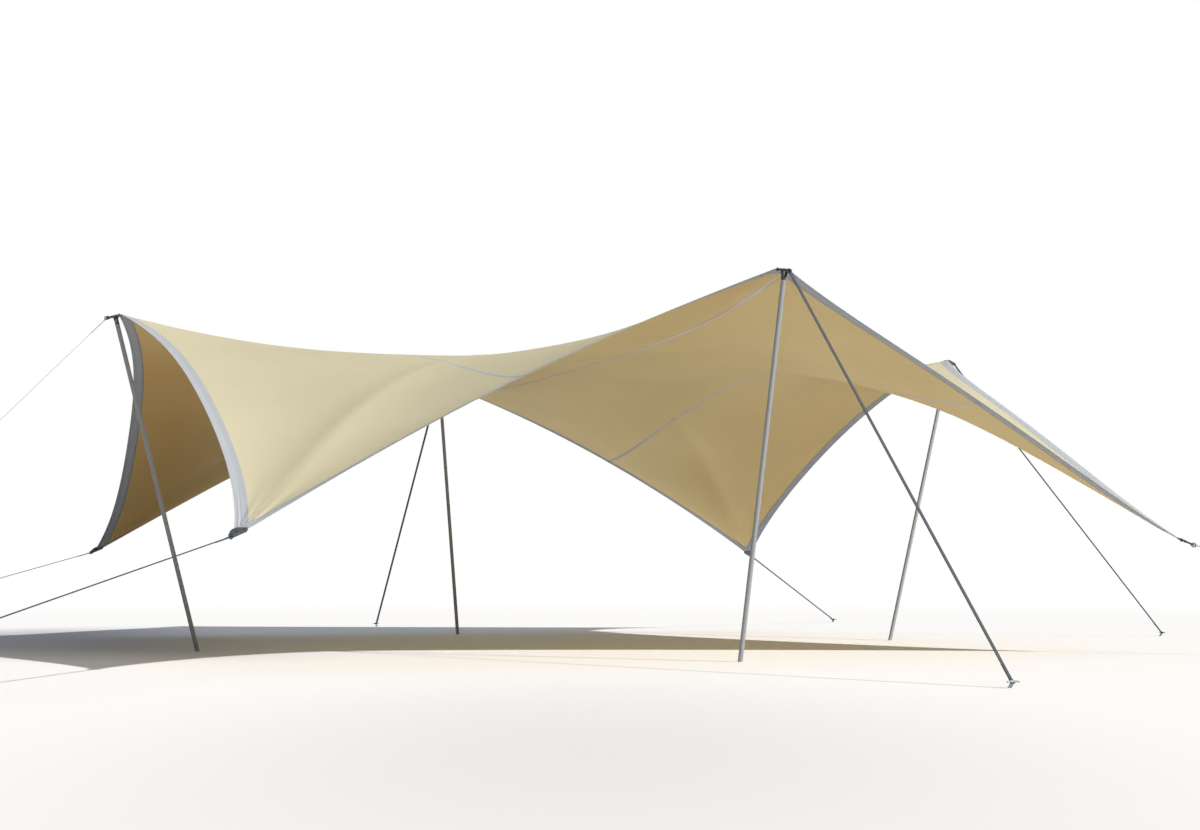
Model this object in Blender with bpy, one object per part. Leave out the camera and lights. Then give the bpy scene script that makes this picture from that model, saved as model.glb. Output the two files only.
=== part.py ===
# Star-shaped stretch tent: four high points on leaning poles, four low corners
# pulled down to the ground, and webbing guys to eight stakes.
# Metres, +Z up. The origin is on the ground under the middle of the canopy.
# The front high point is at -Y, the right one at +X.

import math

import bmesh
import bpy
import numpy as np
from mathutils import Matrix, Vector

# Canopy, measured on the middle of the fabric
HIGH_RADIUS = 4.215          # cut end of the fabric at a high point
HIGH_LEVEL = 2.905
HIGH_END_WIDTH = 0.12
LOW_RADIUS = 5.50            # cut end of the fabric at a low corner
LOW_LEVEL = 0.955
LOW_END_WIDTH = 0.10
EDGE_BOW_IN = 0.314          # an edge's bow inwards and upwards from its chord
EDGE_BOW_UP = 0.083
EDGE_SKEW_IN = 0.119         # moves the bow towards the high point
EDGE_SKEW_UP = 0.030
EDGE_FLAT_IN = 0.109         # taken off halfway, which leaves the ends rounder
EDGE_FLAT_UP = -0.018
CROWN_LEVEL = 2.628          # middle of the canopy
CROWN_POWER = 3.10           # how long the crown stays level before it bends
RIDGE_POWER = 0.30           # added towards the high points, taken off towards the low ones
CORNER_DROOP = 0.445         # how far a low corner's trough hangs below that curve
CORNER_DROOP_POWER = 7.3
SEAM_SPACING = 1.93          # seams between the fabric widths run front to back
SEAM_OFFSET = 0.05           # the middle seam lies this far right of the high points
HEM_WIDTH = 0.092
FABRIC_THICKNESS = 0.004     # modelled thicker than the cloth
GAP = 0.0004                 # left between pieces that touch

# Cells of the fabric, from the middle of a side to about the seam, then to the corner
CELLS_TO_SEAM = 7
CELLS_TO_CORNER = 7
EDGE_SAMPLES = 401           # points at which an edge's curve is worked out

# Poles
POLE_FOOT_RADIUS = 3.492     # from the middle of the tent
POLE_DIAMETER = 0.038
POLE_SECTIONS = ("lower", "middle", "upper")
POLE_SIDES = 20
FORK_HEIGHT = 0.060          # from the pole's end to the plate, along the pole
FORK_BLANK_HEIGHT = 0.080    # before it is cut off under the plate
FORK_WIDTH = 0.042
FORK_DEPTH = 0.034
FORK_FOOT_WIDTH = 0.026
FORK_FOOT_HEIGHT = 0.010
FORK_CROTCH = 0.014          # bottom of the gap between its arms
FORK_CROTCH_WIDTH = 0.017
FORK_SHOULDER = 0.050        # where its arms turn upright
FORK_ARM = 0.005

# Corner plates
PLATE_WIDTH = 0.146
PLATE_APEX = 0.1716          # where the straight sides would meet
PLATE_THICKNESS = 0.014
PLATE_CORNER_RADIUS = 0.026
PLATE_TIP_RADIUS = 0.030
PLATE_EYELET_RADIUS = 0.011
PLATE_EYELET_PLACE = 0.042   # a pole's axis meets a high plate here
PLATE_HOLE_RADIUS = 0.009
HIGH_PLATE_SLOPE = math.radians(15)
LOW_PLATE_SLOPE = math.radians(25)

# Shackles, straps and stakes
SHACKLE_WIRE = 0.008
SHACKLE_WIRE_SIDES = 6
SHACKLE_HALF_HEIGHT = 0.015
SHACKLE_PLACE = 0.0971       # where its wire goes through the plate
SHACKLE_END = 0.119          # centre of its outer bend
STRAP_WIDTH = 0.025
STRAP_THICKNESS = 0.003
HIGH_STAKE_RADIUS = 6.923
LOW_STAKE_RADIUS = 9.468
STAKE_HEIGHT = 0.040
STAKE_LEAN = math.radians(42)
STAKE_WIDTH = 0.028
STAKE_THICKNESS = 0.007
STAKE_BAR_LENGTH = 0.090
STAKE_BAR_DIAMETER = 0.011
STAKE_BAR_SIDES = 12
HOLE_SIDES = 16
BEND_POINTS = 9              # along a half circle

# Directions of the eight points, in degrees from +X
HIGH_POINTS = {"front": 270, "right": 0, "back": 90, "left": 180}
LOW_POINTS = {"front_left": 225, "front_right": 315, "back_right": 45, "back_left": 135}


def clear_scene():
    for item in list(bpy.data.objects):
        bpy.data.objects.remove(item, do_unlink=True)


def new_collection(name):
    group = bpy.data.collections.new(name)
    bpy.context.scene.collection.children.link(group)
    return group


def make_material(name, colour, roughness, metallic=0.0):
    material = bpy.data.materials.new(name)
    material.use_nodes = True
    shader = material.node_tree.nodes["Principled BSDF"]
    shader.inputs["Base Color"].default_value = (*colour, 1.0)
    shader.inputs["Roughness"].default_value = roughness
    shader.inputs["Metallic"].default_value = metallic
    return material


def add_object(name, data, collection, material):
    item = bpy.data.objects.new(name, data)
    data.materials.append(material)
    collection.objects.link(item)
    return item


def mesh_from(bm, name):
    bmesh.ops.recalc_face_normals(bm, faces=bm.faces)
    mesh = bpy.data.meshes.new(name)
    bm.to_mesh(mesh)
    bm.free()
    return mesh


def shade_round(item, angle=40):
    item.data.shade_smooth()
    item.data.set_sharp_from_angle(angle=math.radians(angle))


def turned(points, degrees):
    """Points turned about the tent's middle."""
    a = math.radians(degrees)
    turn = np.array([[math.cos(a), -math.sin(a)], [math.sin(a), math.cos(a)]])
    result = np.array(points, dtype=float)
    result[:, :2] = result[:, :2] @ turn.T
    return result


def place_frame(direction, radius, level, slope=0.0):
    """Matrix of a point of the tent: x outwards and down by slope, y along the edge, z up."""
    turn = Matrix.Rotation(math.radians(direction), 4, "Z")
    return turn @ Matrix.Translation((radius, 0, level)) @ Matrix.Rotation(slope, 4, "Y")


# One edge of the canopy, from the high point on +X to the low corner at 45 degrees.
# It is the chord between the two ends, bowed in and up by a parabola. The skew is
# a cubic that moves the deepest part towards the high point, and a curve of the
# fourth power takes some of the bow off again halfway.

def edge_curve(t):
    t = np.atleast_1d(t)[:, None]
    half = math.sqrt(0.5)
    start = np.array([HIGH_RADIUS, HIGH_END_WIDTH / 2, HIGH_LEVEL])
    corner = LOW_RADIUS * half
    aside = LOW_END_WIDTH / 2 * half
    end = np.array([corner + aside, corner - aside, LOW_LEVEL])
    chord = (end - start) / np.linalg.norm(end - start)
    inward = np.array([-chord[1], chord[0], 0]) / math.hypot(chord[0], chord[1])
    upward = np.cross(chord, inward)
    upward *= np.sign(upward[2])
    bow = EDGE_BOW_IN * inward + EDGE_BOW_UP * upward
    skew = EDGE_SKEW_IN * inward + EDGE_SKEW_UP * upward
    flat = EDGE_FLAT_IN * inward + EDGE_FLAT_UP * upward
    arch = t * (1 - t)
    return start + (end - start) * t + 4 * arch * bow + arch * (1 - 2 * t) * skew - 16 * arch ** 2 * flat


def hem_line(across):
    """Inner line of the hem: plan points at the given distances from the side's middle."""
    t = np.linspace(0, 1, EDGE_SAMPLES)
    edge = edge_curve(t)[:, :2]
    along = np.gradient(edge, axis=0)
    along /= np.linalg.norm(along, axis=1)[:, None]
    inner = edge + HEM_WIDTH * np.stack([-along[:, 1], along[:, 0]], 1)
    # carried on past the middle of the side, so that it is known from there on
    inner = np.vstack([inner[0] - along[0] * HEM_WIDTH, inner])
    x = np.interp(across, inner[:, 1], inner[:, 0])
    return np.stack([x, across], 1)


def hem_corner():
    """Distance along the side at which the hem's inner line meets the diagonal."""
    across = np.linspace(SEAM_SPACING, LOW_RADIUS * math.sqrt(0.5), EDGE_SAMPLES)
    line = hem_line(across)
    return float(np.interp(0.0, line[:, 1] - line[:, 0], across))


def sheet_height(x, y):
    """Level of the fabric over a plan point.

    A ray from the middle to the edge starts level at the crown and reaches the
    edge's own level by a power of the share s of the way, and towards the low
    corners a trough hangs below that.
    """
    edge = edge_curve(np.linspace(0, 1, EDGE_SAMPLES))
    angles = np.arctan2(edge[:, 1], edge[:, 0])
    reach = np.hypot(edge[:, 0], edge[:, 1])
    angles = np.concatenate([[0.0], angles, [math.pi / 4]])
    reach = np.concatenate([[HIGH_RADIUS], reach, [LOW_RADIUS]])
    levels = np.concatenate([[HIGH_LEVEL], edge[:, 2], [LOW_LEVEL]])
    around = np.arctan2(y, x)
    folded = np.abs((around + math.pi / 4) % (math.pi / 2) - math.pi / 4)
    share = np.hypot(x, y) / np.interp(folded, angles, reach)
    level = np.interp(folded, angles, levels)
    wave = np.cos(4 * around)
    rise = share ** (CROWN_POWER + RIDGE_POWER * wave)
    trough = ((1 - wave) / 2) ** 2 * 4 * share ** CORNER_DROOP_POWER * (1 - share)
    return CROWN_LEVEL + (level - CROWN_LEVEL) * rise - CORNER_DROOP * trough


def side_samples():
    """Distances from a side's middle at which the hem and the fabric share a point."""
    first = np.linspace(0, SEAM_SPACING, CELLS_TO_SEAM + 1)
    second = np.linspace(SEAM_SPACING, hem_corner(), CELLS_TO_CORNER + 1)
    return np.concatenate([first, second[1:]])


def thick_grid(points, name):
    """A closed sheet from rows and columns of points, as thick as the fabric.

    The vertices of a flat grid are moved to the points, row by row, and the sheet
    is then drawn out upwards.
    """
    rows, columns = points.shape[:2]
    bm = bmesh.new()
    bmesh.ops.create_grid(bm, x_segments=columns - 1, y_segments=rows - 1, size=1)
    bm.verts.ensure_lookup_table()
    flat = points.reshape(-1, 3) - np.array([0, 0, FABRIC_THICKNESS / 2])
    order = sorted(bm.verts, key=lambda v: (round(v.co.y, 5), round(v.co.x, 5)))
    for vert, place in zip(order, flat):
        vert.co = place
    bmesh.ops.remove_doubles(bm, verts=bm.verts, dist=0.00005)
    bmesh.ops.triangulate(bm, faces=bm.faces)
    lower = list(bm.faces)
    raised = bmesh.ops.extrude_face_region(bm, geom=lower, use_keep_orig=True)
    top = [part for part in raised["geom"] if isinstance(part, bmesh.types.BMVert)]
    bmesh.ops.translate(bm, verts=top, vec=(0, 0, FABRIC_THICKNESS))
    return mesh_from(bm, name)


def hem_grid(direction):
    """One side's hem: outer row on the edge, inner row on the hem line, corner to corner."""
    across = side_samples()
    inner = hem_line(across)
    inner[-1] = across[-1]
    outer = edge_curve(across[1:] / across[-1])
    start = edge_curve(0.0)
    end = LOW_RADIUS * math.sqrt(0.5)
    middle = np.array([[HIGH_RADIUS, 0, HIGH_LEVEL]])
    tip = np.array([[end, end, LOW_LEVEL]])
    outer = np.vstack([middle, start, outer, tip])
    inner = np.vstack([inner[:1], inner, inner[-1:]])
    # the ends keep half the gap to the next side's hem
    off = np.array([1, -1]) * GAP / 2 * math.sqrt(0.5)
    outer[-1, :2] += off
    inner[-2:] += off
    inner = np.column_stack([inner, sheet_height(inner[:, 0], inner[:, 1])])
    half = np.stack([outer, inner])
    other = half[:, :0:-1] * np.array([1, -1, 1])
    whole = np.concatenate([other, half], axis=1)
    return turned(whole.reshape(-1, 3), direction).reshape(whole.shape)


def seam_rows(place, shift):
    """Points of a seam line from front to back, spread as along the tent's side."""
    across = side_samples()
    full = np.concatenate([-across[:0:-1], across])
    reach = hem_line(np.array([abs(place)]))[0, 0] - GAP
    return np.stack([np.full(len(full), place + shift), full / across[-1] * reach], 1)


def tent_side(sign):
    """Points of the hem's inner line on the tent's right or left side, from front to back."""
    across = side_samples()
    line = hem_line(across)
    line[-1] = across[-1]
    line = np.concatenate([line[:0:-1] * np.array([1, -1]), line])
    line[:, 0] -= GAP
    line[0, 1] += GAP
    line[-1, 1] -= GAP
    return line * np.array([sign, 1])


def panel_grid(left, right):
    """Fabric between two lines of points that run front to back.

    Its front and back lines follow the hems, and the points between are blended
    from the four sides as a Coons patch.
    """
    across = side_samples()
    out = hem_line(across)[:, 0]
    out[-1] = across[-1]
    full = np.concatenate([-across[:0:-1], across])
    full_out = np.concatenate([out[:0:-1], out])
    inside = full[(full > left[0, 0] + GAP) & (full < right[0, 0] - GAP)]
    columns = np.concatenate([left[:1, 0], inside, right[:1, 0]])
    front = np.stack([columns, GAP - np.interp(columns, full, full_out)], 1)
    back = front * np.array([1, -1])
    v = np.linspace(0, 1, len(left))[:, None, None]
    u = ((columns - columns[0]) / (columns[-1] - columns[0]))[None, :, None]
    sides = left[:, None] * (1 - u) + right[:, None] * u
    ends = front[None] * (1 - v) + back[None] * v
    corners = (left[0] * (1 - u) + right[0] * u) * (1 - v) + (left[-1] * (1 - u) + right[-1] * u) * v
    plan = sides + ends - corners
    return np.concatenate([plan, sheet_height(plan[..., 0], plan[..., 1])[..., None]], axis=2)


def build_canopy(group, fabric, trim):
    half = GAP / 2
    left, middle, right = [SEAM_OFFSET + number * SEAM_SPACING for number in (-1, 0, 1)]
    grids = {"left_outer": panel_grid(tent_side(-1), seam_rows(left, -half)),
             "left_inner": panel_grid(seam_rows(left, half), seam_rows(middle, -half)),
             "right_inner": panel_grid(seam_rows(middle, half), seam_rows(right, -half)),
             "right_outer": panel_grid(seam_rows(right, half), tent_side(1))}
    for place, grid in grids.items():
        name = f"canopy_panel_{place}"
        item = add_object(name, thick_grid(grid, name), group, fabric)
        shade_round(item)
    for side, direction in HIGH_POINTS.items():
        name = f"hem_{side}"
        item = add_object(name, thick_grid(hem_grid(direction), name), group, trim)
        shade_round(item)


def arc(centre, radius, start, end, steps):
    angles = np.radians(np.linspace(start, end, steps))
    return [(centre[0] + radius * math.cos(a), centre[1] + radius * math.sin(a)) for a in angles]


def plate_tip():
    """Centre of the plate's rounded tip, and half the angle between its sides in degrees."""
    half_angle = math.atan2(PLATE_WIDTH / 2, PLATE_APEX)
    return PLATE_APEX - PLATE_TIP_RADIUS / math.sin(half_angle), math.degrees(half_angle)


def plate_outline():
    """A triangle with rounded corners: wide side at the fabric, tip outwards."""
    tip, half_angle = plate_tip()
    r = PLATE_CORNER_RADIUS
    # a corner's arc touches the wide side and the slanting one
    reach = r * (1 + math.sin(math.radians(half_angle))) / math.cos(math.radians(half_angle))
    corner = PLATE_WIDTH / 2 - reach
    steps = BEND_POINTS // 2 + 1
    points = arc((r, -corner), r, 180, 270 + half_angle, steps)
    points += arc((tip, 0), PLATE_TIP_RADIUS, -90 + half_angle, 90 - half_angle, BEND_POINTS)
    points += arc((r, corner), r, 90 - half_angle, 180, steps)
    return points


def circle(centre, radius):
    return arc(centre, radius, 0, 360, HOLE_SIDES + 1)[:-1]


def flat_piece(name, outlines, thickness):
    """A mesh cut from flat outlines: the first is the shape, the others are holes."""
    curve = bpy.data.curves.new(name, "CURVE")
    curve.dimensions = "2D"
    curve.fill_mode = "BOTH"
    curve.extrude = thickness / 2
    for outline in outlines:
        spline = curve.splines.new("POLY")
        spline.points.add(len(outline) - 1)
        for point, (x, y) in zip(spline.points, outline):
            point.co = (x, y, 0, 1)
        spline.use_cyclic_u = True
    holder = bpy.data.objects.new(name, curve)
    bpy.context.scene.collection.objects.link(holder)
    evaluated = holder.evaluated_get(bpy.context.evaluated_depsgraph_get())
    mesh = bpy.data.meshes.new_from_object(evaluated)
    bpy.data.objects.remove(holder)
    bm = bmesh.new()
    bm.from_mesh(mesh)
    bmesh.ops.remove_doubles(bm, verts=bm.verts, dist=0.00001)
    bmesh.ops.recalc_face_normals(bm, faces=bm.faces)
    bm.to_mesh(mesh)
    bm.free()
    return mesh


def build_plates(group, steel):
    tip = plate_tip()[0]
    eyelet = circle((PLATE_EYELET_PLACE, 0), PLATE_EYELET_RADIUS)
    hole = circle((tip, 0), PLATE_HOLE_RADIUS)
    mesh = flat_piece("corner_plate", [plate_outline(), eyelet, hole], PLATE_THICKNESS)
    mesh.materials.clear()
    mesh.materials.append(steel)
    for name in (*HIGH_POINTS, *LOW_POINTS):
        item = bpy.data.objects.new(f"corner_plate_{name}", mesh)
        item.matrix_world = plate_frame(name)
        group.objects.link(item)


def plate_frame(name):
    """Place of a plate: its wide side meets the cut end of the fabric."""
    if name in HIGH_POINTS:
        direction, radius, level, slope = HIGH_POINTS[name], HIGH_RADIUS, HIGH_LEVEL, HIGH_PLATE_SLOPE
    else:
        direction, radius, level, slope = LOW_POINTS[name], LOW_RADIUS, LOW_LEVEL, LOW_PLATE_SLOPE
    # set back so that the face of the sloping plate clears the fabric's lower edge
    back = FABRIC_THICKNESS / 2 * math.tan(slope)
    return place_frame(direction, radius + GAP + back, level, slope)


def pole_reach():
    """How far out a pole leans, and how high it rises to the plate's lower face."""
    top = plate_frame("right") @ Vector((PLATE_EYELET_PLACE, 0, -PLATE_THICKNESS / 2))
    return top.x - POLE_FOOT_RADIUS, top.z


def pole_frame(name):
    """Place of a pole: its foot on the ground, z along the pole, which leans outwards."""
    return place_frame(HIGH_POINTS[name], POLE_FOOT_RADIUS, 0, math.atan2(*pole_reach()))


def pole_length():
    return math.hypot(*pole_reach())


def cut_flat(bm, point, normal):
    """Cuts off what lies beyond a plane, on its normal's side, and closes the cut."""
    cut = bmesh.ops.bisect_plane(
        bm, geom=bm.verts[:] + bm.edges[:] + bm.faces[:], plane_co=point,
        plane_no=normal, clear_outer=True)
    edges = [part for part in cut["geom_cut"] if isinstance(part, bmesh.types.BMEdge)]
    bmesh.ops.holes_fill(bm, edges=edges)


def build_poles(group, metal):
    length = pole_length() - FORK_HEIGHT
    section = length / len(POLE_SECTIONS)
    below = POLE_DIAMETER       # the lowest section starts under the ground and is cut level
    for name in HIGH_POINTS:
        frame = pole_frame(name)
        for number, part in enumerate(POLE_SECTIONS):
            start = section * number + GAP / 2 if number else -below
            end = section * (number + 1) - GAP / 2
            bm = bmesh.new()
            bmesh.ops.create_cone(bm, cap_ends=True, segments=POLE_SIDES, radius1=POLE_DIAMETER / 2,
                                  radius2=POLE_DIAMETER / 2, depth=end - start,
                                  matrix=frame @ Matrix.Translation((0, 0, (start + end) / 2)))
            if not number:
                cut_flat(bm, (0, 0, 0), (0, 0, -1))
            label = f"pole_{name}_{part}"
            shade_round(add_object(label, mesh_from(bm, label), group, metal))


def build_forks(group, steel):
    """The Y-shaped bracket between a pole's end and the plate above it."""
    foot = FORK_FOOT_WIDTH / 2
    outside = FORK_WIDTH / 2
    inside = outside - FORK_ARM
    half = [(foot, 0), (foot, FORK_FOOT_HEIGHT), (outside, FORK_SHOULDER), (outside, FORK_BLANK_HEIGHT),
            (inside, FORK_BLANK_HEIGHT), (inside, FORK_SHOULDER), (FORK_CROTCH_WIDTH / 2, FORK_CROTCH)]
    outline = half + [(-x, z) for x, z in reversed(half)]
    blank = flat_piece("fork", [outline], FORK_DEPTH)
    stand = Matrix.Rotation(math.radians(90), 4, "Z") @ Matrix.Rotation(math.radians(90), 4, "X")
    for name in HIGH_POINTS:
        bm = bmesh.new()
        bm.from_mesh(blank)
        start = pole_length() - FORK_HEIGHT + GAP / 2
        bm.transform(pole_frame(name) @ Matrix.Translation((0, 0, start)) @ stand)
        plate = plate_frame(name)
        cut_flat(bm, plate @ Vector((0, 0, -PLATE_THICKNESS / 2 - GAP)), plate.col[2].to_3d())
        label = f"fork_{name}"
        add_object(label, mesh_from(bm, label), group, steel)
    bpy.data.meshes.remove(blank)


def shackle_path():
    """A long link: two straight runs joined by half circles, in the plate's x-z plane."""
    h = SHACKLE_HALF_HEIGHT
    inner = arc((SHACKLE_PLACE + h, 0), h, 90, 270, BEND_POINTS)
    outer = arc((SHACKLE_END, 0), h, -90, 90, BEND_POINTS)
    return [(x, 0, z) for x, z in inner + outer]


def build_shackles(group, steel):
    for name in LOW_POINTS:
        curve = bpy.data.curves.new(f"shackle_{name}", "CURVE")
        curve.dimensions = "3D"
        curve.bevel_depth = SHACKLE_WIRE / 2
        curve.bevel_resolution = (SHACKLE_WIRE_SIDES - 4) // 2
        curve.use_fill_caps = True
        spline = curve.splines.new("POLY")
        path = shackle_path()
        spline.points.add(len(path) - 1)
        for point, place in zip(spline.points, path):
            point.co = (*place, 1)
        spline.use_cyclic_u = True
        item = add_object(f"shackle_{name}", curve, group, steel)
        item.matrix_world = plate_frame(name)


def stake_bar(direction, radius):
    """Centre of a stake's crossbar."""
    out = radius + STAKE_HEIGHT * math.tan(STAKE_LEAN)
    return place_frame(direction, out, STAKE_HEIGHT).translation


def build_straps(group, webbing):
    """Flat webbing, level across its width, from a plate or shackle to a stake's crossbar."""
    tip = plate_tip()[0] + PLATE_TIP_RADIUS
    # from the middle of a link's bend to its outside, on the flats between the corners
    bend = SHACKLE_HALF_HEIGHT * math.cos(math.radians(90 / (BEND_POINTS - 1)))
    link = bend + SHACKLE_WIRE / 2 * math.cos(math.pi / SHACKLE_WIRE_SIDES)
    ends = {}
    for name, direction in HIGH_POINTS.items():
        start = plate_frame(name) @ Vector((tip, 0, -PLATE_THICKNESS / 2))
        ends[name] = (start, 0.0, direction, HIGH_STAKE_RADIUS)
    for name, direction in LOW_POINTS.items():
        start = plate_frame(name) @ Vector((SHACKLE_END, 0, 0))
        ends[name] = (start, link, direction, LOW_STAKE_RADIUS)
    for name, (start, clear, direction, radius) in ends.items():
        end = stake_bar(direction, radius)
        along = (end - start).normalized()
        start = start + along * (clear + GAP)
        end = end - along * (STAKE_BAR_DIAMETER / 2 + GAP)
        across = Vector((0, 0, 1)).cross(along).normalized()
        frame = Matrix((along, across, along.cross(across))).transposed().to_4x4()
        frame.translation = (start + end) / 2
        size = Matrix.Diagonal(((end - start).length, STRAP_WIDTH, STRAP_THICKNESS, 1))
        bm = bmesh.new()
        bmesh.ops.create_cube(bm, size=1, matrix=frame @ size)
        label = f"strap_{name}"
        add_object(label, mesh_from(bm, label), group, webbing)


def build_stakes(group, cutters, steel):
    """A flat leaning bar with a round crossbar, from the ground up."""
    points = [(n, d, HIGH_STAKE_RADIUS) for n, d in HIGH_POINTS.items()]
    points += [(n, d, LOW_STAKE_RADIUS) for n, d in LOW_POINTS.items()]
    for name, direction, radius in points:
        frame = place_frame(direction, radius, 0)
        lean = Matrix.Identity(4)
        lean[0][2] = math.tan(STAKE_LEAN)
        size = Matrix.Diagonal((STAKE_THICKNESS, STAKE_WIDTH, STAKE_HEIGHT, 1))
        bm = bmesh.new()
        bmesh.ops.create_cube(bm, size=1, matrix=frame @ lean @ Matrix.Translation(
            (0, 0, STAKE_HEIGHT / 2)) @ size)
        label = f"stake_{name}"
        item = add_object(label, mesh_from(bm, label), group, steel)
        bar = bmesh.new()
        turn = Matrix.Rotation(math.radians(90), 4, "X")
        place = frame @ Matrix.Translation((STAKE_HEIGHT * math.tan(STAKE_LEAN), 0, STAKE_HEIGHT))
        bmesh.ops.create_cone(bar, cap_ends=True, segments=STAKE_BAR_SIDES,
                              radius1=STAKE_BAR_DIAMETER / 2, radius2=STAKE_BAR_DIAMETER / 2,
                              depth=STAKE_BAR_LENGTH, matrix=place @ turn)
        cutter = add_object(f"crossbar_{name}", mesh_from(bar, f"crossbar_{name}"), cutters, steel)
        cutter.hide_render = True
        cutter.display_type = "WIRE"
        join = item.modifiers.new("crossbar", "BOOLEAN")
        join.operation = "UNION"
        join.object = cutter


def main():
    clear_scene()
    group = new_collection("stretch_tent")
    cutters = new_collection("stretch_tent_cutters")
    fabric = make_material("canopy_fabric", (0.66, 0.57, 0.38), 0.85)
    trim = make_material("hem_fabric", (0.55, 0.57, 0.60), 0.80)
    metal = make_material("pole_metal", (0.62, 0.65, 0.67), 0.38, 0.9)
    steel = make_material("dark_steel", (0.05, 0.06, 0.07), 0.45, 0.7)
    bright = make_material("stake_steel", (0.55, 0.57, 0.58), 0.40, 0.9)
    webbing = make_material("strap_webbing", (0.09, 0.11, 0.13), 0.75)
    build_canopy(group, fabric, trim)
    build_plates(group, steel)
    build_poles(group, metal)
    build_forks(group, steel)
    build_shackles(group, steel)
    build_straps(group, webbing)
    build_stakes(group, cutters, bright)


main()
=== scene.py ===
# Looks of a star-shaped stretch tent: the stretched sheet with its hems and seam tapes,
# corner plates, poles of three sections, and webbing guys from the corners to the stakes.
import bmesh
import bpy
import math
import numpy as np
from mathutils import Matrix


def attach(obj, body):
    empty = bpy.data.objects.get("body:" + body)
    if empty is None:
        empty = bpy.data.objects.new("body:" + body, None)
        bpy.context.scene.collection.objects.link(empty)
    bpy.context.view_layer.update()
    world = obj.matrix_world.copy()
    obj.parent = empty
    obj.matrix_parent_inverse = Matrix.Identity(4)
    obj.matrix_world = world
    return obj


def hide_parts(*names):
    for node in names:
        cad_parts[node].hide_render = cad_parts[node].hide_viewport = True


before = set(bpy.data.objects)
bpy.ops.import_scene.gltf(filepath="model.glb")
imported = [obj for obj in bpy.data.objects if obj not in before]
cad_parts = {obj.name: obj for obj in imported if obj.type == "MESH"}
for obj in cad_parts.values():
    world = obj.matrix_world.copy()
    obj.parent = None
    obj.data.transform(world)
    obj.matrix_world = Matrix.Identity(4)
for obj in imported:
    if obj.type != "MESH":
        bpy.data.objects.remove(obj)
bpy.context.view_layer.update()        # the imported tent's nodes, now in world space
scene = bpy.context.scene

tent = {
    "highRadius": 4.215, "highLevel": 2.905, "highWidth": 0.12,     # cut end at a high point
    "lowRadius": 5.50, "lowLevel": 0.955, "lowWidth": 0.10,         # cut end at a low corner
    "bowIn": 0.314, "bowUp": 0.083, "skewIn": 0.119, "skewUp": 0.030, "flatIn": 0.109, "flatUp": -0.018,
    "crownLevel": 2.628, "crownPower": 3.10, "ridgePower": 0.30,
    "droop": 0.445, "droopPower": 7.3,
    "hemWidth": 0.092, "seams": (-1.88, 0.05, 1.98), "gap": 0.0004, "samples": 1601, "runOn": 0.3,
}
highPoints = {"front": 270, "right": 0, "back": 90, "left": 180}    # degrees from +X
lowPoints = {"front_left": 225, "front_right": 315, "back_right": 45, "back_left": 135}
corners = {**highPoints, **lowPoints}


# Arrays of points, and places on the tent

def unit(vectors):
    return vectors / np.linalg.norm(vectors, axis=-1, keepdims=True)


def smooth(t):
    # 0 below 0, 1 above 1, and 3t² - 2t³ between
    t = np.clip(t, 0, 1)
    return t * t * (3 - 2 * t)


def turnAbout(axis, degrees):
    a = math.radians(degrees)
    matrix = np.eye(4)
    i, j = {"x": (1, 2), "y": (2, 0), "z": (0, 1)}[axis]
    matrix[[i, j], [i, j]] = math.cos(a)
    matrix[i, j], matrix[j, i] = -math.sin(a), math.sin(a)
    return matrix


def shift(x, y, z):
    matrix = np.eye(4)
    matrix[:3, 3] = x, y, z
    return matrix


def placeAt(direction, radius, level, slope=0.0):
    # x outwards and down by the slope, y along the tent's edge, z up; slope in degrees
    return turnAbout("z", direction) @ shift(radius, 0, level) @ turnAbout("y", slope)


def through(matrix, points):
    return np.asarray(points, float) @ matrix[:3, :3].T + matrix[:3, 3]


def planeOf(start, along, side):
    # matrix with x along a line, y to its side and z square to both
    along = unit(along)
    side = unit(side - along * (side @ along))
    matrix = np.eye(4)
    matrix[:3, 0], matrix[:3, 1], matrix[:3, 2] = along, side, np.cross(along, side)
    matrix[:3, 3] = start
    return matrix


def softened(line, radius):
    # each inner corner of a line gives way to a parabola that starts `radius` before it, or
    # just short of halfway to the next corner
    line = np.asarray(line, float)
    before, after = line[:-2] - line[1:-1], line[2:] - line[1:-1]
    lengths = np.minimum(np.linalg.norm(before, axis=1), np.linalg.norm(after, axis=1))
    reach = np.minimum(radius, 0.48 * lengths)[:, None]
    start, end = line[1:-1] + unit(before) * reach, line[1:-1] + unit(after) * reach
    t = np.linspace(0, 1, 5)[None, :, None]
    bends = start[:, None] * (1 - t) ** 2 + 2 * t * (1 - t) * line[1:-1, None] + end[:, None] * t ** 2
    return np.vstack([line[:1], bends.reshape(-1, line.shape[1]), line[-1:]])


def arc(radius, start, end, steps):
    # points of a circle from one angle to another, in degrees
    a = np.radians(np.linspace(start, end, steps))
    return radius * np.stack([np.cos(a), np.sin(a)], 1)


def ringOf(radius, sides):
    return arc(radius, 0, 360, sides + 1)[:-1]


def roundedBox(width, height, radius, steps):
    # outline of a rectangle whose corners are quarter circles, middle at the origin
    middles = np.array([(1, 1), (-1, 1), (-1, -1), (1, -1)]) * (width / 2 - radius, height / 2 - radius)
    return np.vstack([middle + arc(radius, 90 * k, 90 * k + 90, steps) for k, middle in enumerate(middles)])


def carried(path, section, side, closed=False, size=1.0):
    # a section, scaled by `size`, carried along a flat path: its x runs along `side`, which
    # is square to the path, and its y square to both
    path = np.asarray(path, float)
    step = np.roll(path, -1, 0) - np.roll(path, 1, 0) if closed else np.gradient(path, axis=0)
    normal = unit(np.cross(step, side))
    section = section[None] * np.reshape(size, (-1, 1, 1))
    return path[:, None] + section[..., :1] * side + section[..., 1:] * normal[:, None]


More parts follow.
